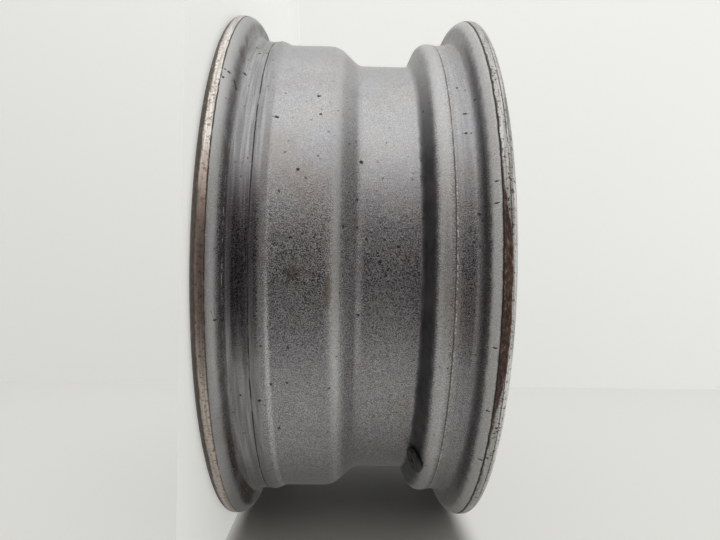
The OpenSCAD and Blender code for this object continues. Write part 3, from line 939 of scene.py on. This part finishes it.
# Steps over bends in degrees, and the longest straight stretch of the disc's section
TYRE_SIDE_STEP = 7
HUB_SIDE_STEP = 10
DISC_STEP = 6
DISC_STRETCH = 8


def rim_piece():
    """The rolled rim, painted apart on its tyre side and its hub side, with the valve hole."""
    outer = sheet_face(RIM_CORNERS, 0, TYRE_SIDE_STEP)
    inner = sheet_face(RIM_CORNERS, RIM_T, HUB_SIDE_STEP)
    tyre_side, hub_side = 0, 1
    slots = [tyre_side] * len(outer) + [hub_side] * (len(inner) - 1) + [tyre_side]
    rim = piece_from_mesh("rolled_rim", lathe("rolled_rim", outer + inner[::-1], RIM_SEGMENTS, slots))
    rim.data.materials.append(tyre_side_paint())
    rim.data.materials.append(shop_paint(
        "hub_side_paint", light=(0.50, 0.50, 0.505), dark=(0.36, 0.36, 0.365),
        dust_colour=(0.10, 0.075, 0.058), metallic=0.7))
    low, high = -4, 7
    drill = section((0, low), (VALVE_HOLE_R, low), (VALVE_HOLE_R, high), (0, high))
    carve(rim, "DIFFERENCE", lathe("valve_drill", drill, HOLE_SEGMENTS, place=AT_VALVE))
    smooth(rim, sharp_degrees=35)
    dress(rim, "rim")


def round_axis(count):
    """Even turns round the axis."""
    return [Matrix.Rotation(2 * math.pi * i / count, 4, "Z") for i in range(count)]


TO_BOLT = Matrix.Translation((BOLT_CIRCLE_R * MM, 0, 0))
TO_VENT = Matrix.Translation((VENT_CIRCLE_R * MM, 0, VENT_Z * MM)) @ Matrix.Rotation(DISC_SLOPE, 4, "Y")
PAD_TOP_Z = DISC_FRONT_Z + PAD_H


def pad_section():
    """A raised pad round a bolt hole, rooted in the sheet, with a flared foot and a rounded rim."""
    root_z = DISC_FRONT_Z - DISC_T / 2
    foot_r = PAD_R + PAD_FLARE
    return section(
        (0, root_z), (foot_r, root_z), (foot_r, DISC_FRONT_Z + 0.15), (PAD_R + 0.5, PAD_TOP_Z - 0.25),
        (PAD_R - 0.2, PAD_TOP_Z), (0, PAD_TOP_Z))


def bolt_section():
    """A bolt hole that opens into a ball seat, with its mouth a little past the top of the pad."""
    ball_z = PAD_TOP_Z + math.sqrt(BALL_SEAT_R ** 2 - BALL_MOUTH_R ** 2)
    past_mouth = 0.12
    low_angle = math.acos(BOLT_HOLE_R / BALL_SEAT_R)
    high_angle = math.acos(BALL_MOUTH_R / BALL_SEAT_R) - past_mouth
    ball = arc(complex(0, ball_z), BALL_SEAT_R, -low_angle, -high_angle, 8)
    start_z = HUB_FACE_Z - 2
    return section((0, start_z), (BOLT_HOLE_R, start_z)) + ball + section((0, ball[-1].imag))


def disc_piece():
    """The stamped disc with its bolt pads, ball seats and vents."""
    front = spaced(sheet_face(DISC_CORNERS, 0, DISC_STEP), DISC_STRETCH)
    back = spaced(sheet_face(DISC_CORNERS, -DISC_T, DISC_STEP), DISC_STRETCH)
    disc = piece_from_mesh("stamped_disc", lathe("stamped_disc", front + back[::-1], DISC_SEGMENTS))
    reach = 8
    vent = section((0, -reach), (VENT_R, -reach), (VENT_R, reach), (0, reach))
    bolts = [turn @ TO_BOLT for turn in round_axis(BOLT_N)]
    vents = [turn @ TO_VENT for turn in round_axis(VENT_N)]
    pads = [lathe("bolt_pad", pad_section(), PAD_SEGMENTS, place=place) for place in bolts]
    punches = [lathe("bolt_punch", bolt_section(), HOLE_SEGMENTS, place=place) for place in bolts]
    punches += [lathe("vent_punch", vent, HOLE_SEGMENTS, place=place) for place in vents]
    carve(disc, "UNION", joined("bolt_pads", pads))
    carve(disc, "DIFFERENCE", joined("punches", punches))
    smooth(disc, sharp_degrees=30)
    disc.data.materials.clear()
    disc.data.materials.append(shop_paint(
        "disc_paint", light=(0.56, 0.56, 0.565), dark=(0.42, 0.42, 0.425),
        dust_colour=(0.15, 0.12, 0.10), metallic=0.72))
    dress(disc, "disc")


def growth_tree(name, **inputs):
    """A geometry tree with named inputs of the given kinds and one geometry output."""
    tree = bpy.data.node_groups.new(name, "GeometryNodeTree")
    for label, kind in inputs.items():
        tree.interface.new_socket(label, in_out="INPUT", socket_type="NodeSocket" + kind)
    tree.interface.new_socket("Geometry", in_out="OUTPUT", socket_type="NodeSocketGeometry")
    graph = Graph(tree)
    return tree, graph, graph.node("NodeGroupInput"), tree.nodes.new("NodeGroupOutput").inputs


def grow(piece, tree, **inputs):
    """Runs a geometry tree on a piece and keeps the result as its plain mesh."""
    growth = piece.modifiers.new("growth", "NODES")
    growth.node_group = tree
    for socket in tree.interface.items_tree:
        if socket.in_out == "INPUT" and socket.name in inputs:
            growth[socket.identifier] = inputs[socket.name]
    settle(piece)


def unit_ball(g):
    """A ball of radius 1, to be scaled."""
    return g.node("GeometryNodeMeshIcoSphere", {"Radius": 1.0, "Subdivisions": 3})[0]


def in_material(g, geometry, material):
    """Makes copies real and smooth and gives them a material."""
    solid = g.node("GeometryNodeRealizeInstances", {0: geometry})[0]
    rounded = g.node("GeometryNodeSetShadeSmooth", {0: solid})[0]
    return g.node("GeometryNodeSetMaterial", {"Geometry": rounded, "Material": material})[0]


def weld_tree():
    """Rows of overlapping ripples in even runs round the axis."""
    tree, g, given, out = growth_tree(
        "weld runs", Runs="Int", Ripples="Int", Sweep="Float", Radius="Float", Height="Float", Size="Vector",
        Seed="Int", Paint="Material")
    count = g.product(given["Runs"], given["Ripples"])
    points = g.node("GeometryNodeMeshLine", {"Count": count}, mode="OFFSET")[0]

    # Each run is spread about its own even share of the turn
    index = g.node("GeometryNodeInputIndex")[0]
    run = g.math("FLOOR", g.math("DIVIDE", index, given["Ripples"]))
    last = g.math("SUBTRACT", given["Ripples"], 1.0)
    step = g.math("DIVIDE", g.math("MODULO", index, given["Ripples"]), last)
    start = g.product(g.math("DIVIDE", run, given["Runs"]), 2 * math.pi)
    turn = g.math("ADD", start, g.product(g.math("SUBTRACT", step, 0.5), given["Sweep"]))
    x = g.product(given["Radius"], g.math("COSINE", turn))
    y = g.product(given["Radius"], g.math("SINE", turn))
    spot = g.node("ShaderNodeCombineXYZ", {0: x, 1: y, 2: given["Height"]})[0]
    placed = g.node("GeometryNodeSetPosition", {"Geometry": points, "Position": spot})[0]

    # Ripples differ a little in size
    smallest, largest = 0.86, 1.08
    shares = {2: smallest, 3: largest, "Seed": given["Seed"]}
    spread = g.node("FunctionNodeRandomValue", shares, data_type="FLOAT")[1]
    size = g.node("ShaderNodeVectorMath", {0: given["Size"], "Scale": spread}, operation="SCALE")[0]
    facing = g.node("ShaderNodeCombineXYZ", {2: turn})[0]
    copies = g.node("GeometryNodeInstanceOnPoints", {
        "Points": placed, "Instance": unit_ball(g), "Rotation": facing, "Scale": size})[0]
    g.feed(out[0], in_material(g, copies, given["Paint"]))
    return tree


def weld_piece():
    """The runs of weld between the skirt's edge and the well, which stop a little short at their ends."""
    paint = shop_paint(
        "weld_paint", light=(0.44, 0.44, 0.445), dark=(0.30, 0.30, 0.305),
        dust_colour=(0.09, 0.065, 0.05), metallic=0.6)
    short = 4
    welds = piece_from_mesh("weld_runs", bpy.data.meshes.new("weld_runs"))
    grow(welds, weld_tree(), Runs=WELD_N, Ripples=RIPPLE_N, Sweep=(WELD_L - short) / WELD_R,
         Radius=(WELD_R - RIPPLE_INSET) * MM, Height=(SKIRT_END_Z - RIPPLE_INSET) * MM, Size=RIPPLE_SIZE * MM,
         Seed=7, Paint=paint)
    dress(welds, "disc_welds")


def valve_piece():
    """The rubber of the valve: a grooved base with round edges, a neck, a bulge and a tapered tip."""
    groove = BASE_LOW + 0.3
    ring = section(
        (AIR_R, BASE_LOW + 0.15), (2.9, BASE_LOW), (4.1, BASE_LOW), (4.5, groove), (5.1, groove),
        (5.5, BASE_LOW))
    edge_r = BASE_R - BASE_EDGE_R
    quarter = math.pi / 2
    base_edge = arc(complex(edge_r, BASE_LOW + BASE_EDGE_R), BASE_EDGE_R, -quarter, 0, 9)
    base_top = arc(complex(edge_r, -BASE_EDGE_R - SNAP_GAP), BASE_EDGE_R, 0, quarter, 9)
    neck = section((NECK_R, -SNAP_GAP), (NECK_R, RIM_T + 0.1), (NECK_R + 0.15, NECK_END))
    bulge = section((6.7, 5.0), (7.15, 6.3), (BULGE_R, BULGE_AT), (7.1, 8.2), (6.85, 9.4), (6.5, 13.0))
    taper = section((6.45, 13.5), (6.1, 14.0), (5.55, 22.0), (5.15, 26.6))
    tip = section((5.1, RUBBER_END - 0.6), (4.8, RUBBER_END - 0.1), (4.5, RUBBER_END))
    bore = section((TUBE_R, RUBBER_END), (TUBE_R, STEM_START), (AIR_R, STEM_START))
    outline = ring + base_edge + base_top + neck + bulge + taper + tip + bore
    valve = piece_from_mesh("snap_in_valve", lathe("snap_in_valve", outline, VALVE_SEGMENTS, place=AT_VALVE))
    valve.data.materials.append(black_rubber())
    smooth(valve, sharp_degrees=50)
    dress(valve, "valve_body")


def rib_tree():
    """A turned shell with ribs in a ring round local Z."""
    tree, g, given, out = growth_tree(
        "ribbed cap", Geometry="Geometry", Ribs="Int", Radius="Float", Middle="Float", Size="Vector",
        Plastic="Material")
    sizes = {"Vertices": given["Ribs"], "Radius": given["Radius"]}
    ring = g.node("GeometryNodeMeshCircle", sizes, fill_type="NONE")[0]
    lift = g.node("ShaderNodeCombineXYZ", {2: given["Middle"]})[0]
    lifted = g.node("GeometryNodeSetPosition", {"Geometry": ring, "Offset": lift})[0]
    ribs = g.node("GeometryNodeInstanceOnPoints", {
        "Points": lifted, "Instance": unit_ball(g), "Scale": given["Size"]})[0]
    both = g.tree.nodes.new("GeometryNodeJoinGeometry")
    for geometry in (ribs, given["Geometry"]):
        g.feed(both.inputs[0], geometry)
    g.feed(out[0], in_material(g, both.outputs[0], given["Plastic"]))
    return tree


def cap_piece():
    """The ribbed dust cap."""
    shell = section(
        (CAP_BORE_R, CAP_START), (CAP_R - 0.3, CAP_START), (CAP_R, CAP_START + 0.3), (CAP_R, CAP_END - 1.0),
        (CAP_R - 0.2, CAP_END - 0.4), (CAP_R - 0.6, CAP_END - 0.05), (CAP_R - 1.2, CAP_END), (0, CAP_END),
        (0, CAP_INSIDE), (CAP_BORE_R, CAP_INSIDE))
    cap = piece_from_mesh("dust_cap", lathe("dust_cap", shell, CAP_SEGMENTS))
    rib_middle = (CAP_START + CAP_END) / 2 - CAP_CHAMFER
    grow(cap, rib_tree(), Ribs=CAP_RIB_N, Radius=CAP_R * MM, Middle=rib_middle * MM, Size=CAP_RIB_SIZE * MM,
         Plastic=cap_plastic())
    cap.data.transform(AT_VALVE)
    smooth(cap, sharp_degrees=40)
    dress(cap, "valve_cap")


def repaint(node, material):
    """Gives a node of the wheel a better material and leaves its shape."""
    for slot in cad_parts[node].material_slots:
        slot.material = material


rim_piece()
disc_piece()
weld_piece()
valve_piece()
cap_piece()
repaint("valve_stem", turned_metal("stem_brass", clean=(0.66, 0.47, 0.20), tarnished=(0.36, 0.25, 0.12)))
repaint("valve_core", turned_metal("core_nickel", clean=(0.62, 0.60, 0.54), tarnished=(0.40, 0.37, 0.30)))


# Stage, in metres: a pale table under the wheel and a wall behind it, as it stands, and a floor as it lies

STAGE_GAP = 0.0002
TABLE_Y = FLANGE_R * MM + STAGE_GAP
TABLE_EDGE_X = 0.33
WALL_X = -0.495
FLOOR_Z = -LIP_END_Z * MM - STAGE_GAP
ROOM_X = 1.05
ROOM_TOP_Y = -0.95
ROOM_LOW_Y = 1.2
ROOM_HALF_W = 1.6
FAR = 2.2
PALE = (0.80, 0.81, 0.79)
TABLE_PAINT = (0.45, 0.45, 0.43)
TABLE_LIGHT = (0.78, 0.78, 0.755)
TABLE_GLOW = 0.58
WALL_GLOW = 0.51
# Half sizes of the table's shade under the wheel
SHADE_HALF_X = 0.108
SHADE_HALF_Z = 0.088


def seen_rays(g):
    """1 for what is seen straight or through glass, less for what shows in metal, 0 for light given off."""
    ray = g.node("ShaderNodeLightPath")
    return g.larger(ray["Is Camera Ray"], ray["Is Transmission Ray"], g.product(ray["Is Glossy Ray"], 0.75))


def stage_material(name, colour, glow_colour):
    """A matt surface with a glow, whose strength is still to be fed."""
    material, g, shader = new_material(name)
    g.feed(shader["Base Color"], colour)
    g.feed(shader["Emission Color"], glow_colour)
    g.feed(shader["Roughness"], 0.8)
    return material, g, shader


def clear_where(material, g, mask):
    """Lets a stage surface vanish where the mask is 1."""
    nodes = material.node_tree.nodes
    clear = g.node("ShaderNodeBsdfTransparent")[0]
    pick = g.node("ShaderNodeMixShader", {0: mask, 1: nodes["Principled BSDF"].outputs[0], 2: clear})[0]
    g.feed(nodes["Material Output"].inputs["Surface"], pick)


def clear_from_behind(material, g):
    clear_where(material, g, g.node("ShaderNodeNewGeometry")["Backfacing"])


def stage_place(g):
    """Object coordinates of a stage surface."""
    return g.parts(g.node("ShaderNodeTexCoord")["Object"])


def stage_plane(name, corners, material):
    mesh = bpy.data.meshes.new(name)
    mesh.from_pydata(corners, [], [tuple(range(len(corners)))])
    plane = piece_from_mesh(name, mesh)
    mesh.materials.append(material)
    return plane


def table_top():
    """The table, whose own glow stops under the wheel as a painted shadow, and is stronger next to it in the
    metal as a painted reflection.
    """
    material, g, shader = stage_material("table_top", TABLE_PAINT, TABLE_LIGHT)
    x, _, z = stage_place(g)
    under_x = g.math("DIVIDE", g.math("ABSOLUTE", x), SHADE_HALF_X)
    under_z = g.math("DIVIDE", g.math("ABSOLUTE", z), SHADE_HALF_Z)
    in_metal = g.node("ShaderNodeLightPath")["Is Glossy Ray"]
    # Painted shadow under the wheel, weaker in the metal
    shade = g.larger(g.ramp(g.larger(under_x, under_z), 0.92, 1.17), g.product(in_metal, 0.38))
    # Painted reflection: more glow next to the wheel, seen in the metal
    reflection_boost = g.math("ADD", 1.0, g.product(g.band(z, 0.16, 0.62, 0.08), in_metal, 1.5))
    g.feed(shader["Emission Strength"], g.product(seen_rays(g), shade, reflection_boost, TABLE_GLOW))
    clear_from_behind(material, g)
    return material


def wall_face():
    """The wall behind the wheel, which shows from its front only."""
    material, g, shader = stage_material("wall_face", PALE, PALE)
    g.feed(shader["Emission Strength"], g.product(seen_rays(g), WALL_GLOW))
    clear_from_behind(material, g)
    return material


def floor_face():
    """The floor as the wheel lies, which is lost in the distance."""
    material, g, shader = stage_material("floor_face", PALE, PALE)
    x, y, _ = stage_place(g)
    g.feed(shader["Emission Strength"], g.product(seen_rays(g), g.ramp(y, -0.20, 0.20, 0.545, 0.525)))
    clear_where(material, g, g.ramp(g.length(x, y), 0.34, 0.75))
    return material


def room_face():
    """The dim room that the wheel faces, lighter to its sides, above and below."""
    material, g, shader = new_material("room_face")
    g.feed(shader["Base Color"], (0.05, 0.05, 0.05))
    g.feed(shader["Emission Color"], (1.0, 0.95, 0.91))
    _, y, z = stage_place(g)
    left = g.product(g.ramp(z, -0.70, -0.22, 0.32, 0.008), g.ramp(y, -0.1, 0.5, 1.0, 1.8))
    right = g.product(g.ramp(z, 0.26, 0.66, 0.008, 0.58), g.ramp(y, -0.1, 0.5, 1.0, 1.4))
    above = g.ramp(y, -0.72, -0.28, 0.88, 0.0)
    beneath = g.ramp(y, 0.20, 0.75, 0.0, 0.17)
    g.feed(shader["Emission Strength"], g.larger(left, right, above, beneath))
    return material


def stage():
    """Table and wall for the photo's view, a floor for the others and a room for the metal to mirror."""
    stage_plane("table", [
        (WALL_X, TABLE_Y, -FAR), (TABLE_EDGE_X, TABLE_Y, -FAR), (TABLE_EDGE_X, TABLE_Y, FAR),
        (WALL_X, TABLE_Y, FAR)], table_top())
    stage_plane("wall", [
        (WALL_X, TABLE_Y, -FAR), (WALL_X, TABLE_Y, FAR), (WALL_X, -FAR, FAR),
        (WALL_X, -FAR, -FAR)], wall_face())
    floor = stage_plane("floor", [
        (-FAR, -FAR, FLOOR_Z), (FAR, -FAR, FLOOR_Z), (FAR, FAR, FLOOR_Z), (-FAR, FAR, FLOOR_Z)], floor_face())
    floor.visible_glossy = False
    floor.visible_diffuse = False
    floor.visible_shadow = False
    room = stage_plane("room", [
        (ROOM_X, ROOM_TOP_Y, -ROOM_HALF_W), (ROOM_X, ROOM_TOP_Y, ROOM_HALF_W),
        (ROOM_X, ROOM_LOW_Y, ROOM_HALF_W), (ROOM_X, ROOM_LOW_Y, -ROOM_HALF_W)], room_face())
    room.visible_camera = False
    room.visible_shadow = False


def lamp(name, place, aim, side, brightness):
    """A soft square panel whose face has the given brightness."""
    light = bpy.data.lights.new(name, "AREA")
    light.size = side
    light.energy = brightness * math.pi * side ** 2
    body = bpy.data.objects.new(name, light)
    body.location = place
    body.rotation_euler = (Vector(aim) - Vector(place)).to_track_quat("-Z", "Y").to_euler()
    body.visible_camera = False
    bpy.context.scene.collection.objects.link(body)


def surroundings():
    """Pale where they are seen, straight or in the metal, and dim for the light they give."""
    world = bpy.data.worlds.new("surroundings")
    bpy.context.scene.world = world
    world.use_nodes = True
    g = Graph(world.node_tree)
    dim = world.node_tree.nodes["Background"]
    g.feed(dim.inputs["Color"], (1.0, 0.93, 0.88))
    g.feed(dim.inputs["Strength"], 0.05)
    bright = g.node("ShaderNodeBackground", {"Color": PALE})[0]
    choose = g.node("ShaderNodeMixShader", {0: seen_rays(g), 1: dim.outputs[0], 2: bright})[0]
    g.feed(world.node_tree.nodes["World Output"].inputs["Surface"], choose)


# Camera, where the photo's was; nothing nearer to it than the wheel is shown
CAMERA_AT = (0.5251, 0.00346, -0.0040)
CAMERA_YAW = math.radians(1.2587)
CAMERA_PITCH = math.radians(0.0215)
CAMERA_ROLL = math.radians(-0.898)
CAMERA_LENS = 28.75
CAMERA_SENSOR_W = 36
CAMERA_CLIP = 0.305


def photo_camera():
    """The photo's camera, turned a quarter so that the wheel's axis runs across the picture."""
    turned = Matrix.Rotation(CAMERA_ROLL, 3, "Z") @ Matrix.Rotation(CAMERA_PITCH, 3, "X")
    turned = turned @ Matrix.Rotation(-CAMERA_YAW, 3, "Y")
    to_wheel = Matrix(((0, 0, -1), (0, -1, 0), (1, 0, 0)))
    right, up, ahead = (to_wheel @ Vector(row) for row in turned)
    camera = bpy.data.objects.new("camera", bpy.data.cameras.new("camera"))
    camera.data.sensor_width = CAMERA_SENSOR_W
    camera.data.lens = CAMERA_LENS
    camera.data.clip_start = CAMERA_CLIP
    camera.matrix_world = Matrix.Translation(CAMERA_AT) @ Matrix((right, up, -ahead)).transposed().to_4x4()
    bpy.context.scene.collection.objects.link(camera)
    bpy.context.scene.camera = camera


stage()
lamp("key", place=(0.50, -1.0, 0.0), aim=(0.50, 0.0, 0.0), side=1.9, brightness=0.85)
lamp("overhead", place=(0.0, -0.2, 1.3), aim=(0, 0, 0), side=1.0, brightness=0.8)
lamp("back", place=(-1.3, -0.35, 0.75), aim=(0, 0, 0), side=0.9, brightness=0.6)
surroundings()
photo_camera()
bpy.context.scene.view_settings.view_transform = "Standard"
